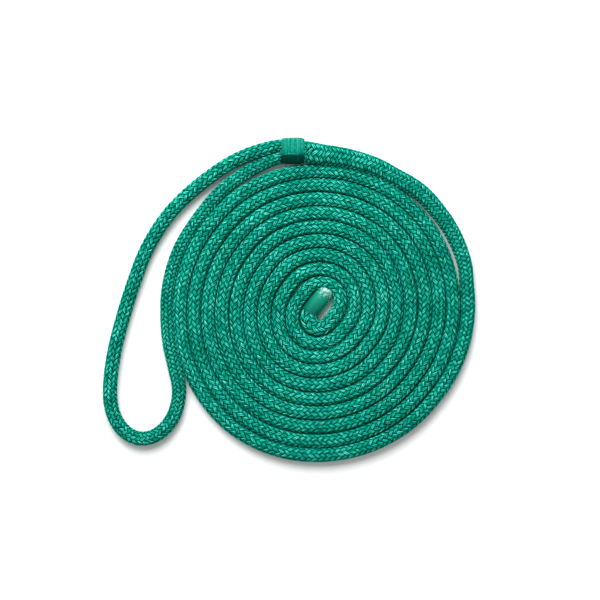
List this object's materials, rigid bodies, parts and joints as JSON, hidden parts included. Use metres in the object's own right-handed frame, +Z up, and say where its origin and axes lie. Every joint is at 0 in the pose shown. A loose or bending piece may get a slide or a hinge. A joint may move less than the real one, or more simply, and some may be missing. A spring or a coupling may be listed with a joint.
{
  "type": "dock line",
  "caption": "Double-braid mooring rope laid down as a flat spiral coil, with a whipped and spliced eye at one end and a sleeved bitter end.",
  "frame": {"origin": "centre of the bounding box's footprint, on the surface that the line lies on", "axes": "+Z up from the surface, +X from the eye towards the coil, +Y towards the whipped throat"},
  "size_m": [0.3151, 0.2755, 0.0211],
  "materials": {
    "cover": "braided nylon with a soft sheen",
    "core": "braided nylon, undyed to pale green",
    "twine": "smooth bright whipping twine",
    "clear_sleeve": "clear shrink film, glossy",
    "melted_end": "fused nylon, semi-gloss"
  },
  "bodies": {
    "root": {"coil_cover": "cover", "coil_core": "core", "end_sleeve": "clear_sleeve", "sealed_tip": "melted_end", "throat_cover": "cover", "throat_core": "core", "buried_cover_tail": "cover", "buried_core_tail": "core", "eye_cover": "cover", "eye_core": "core", "whipping": "twine", "lock_stitches": "twine"}
  },
  "joints": []
}
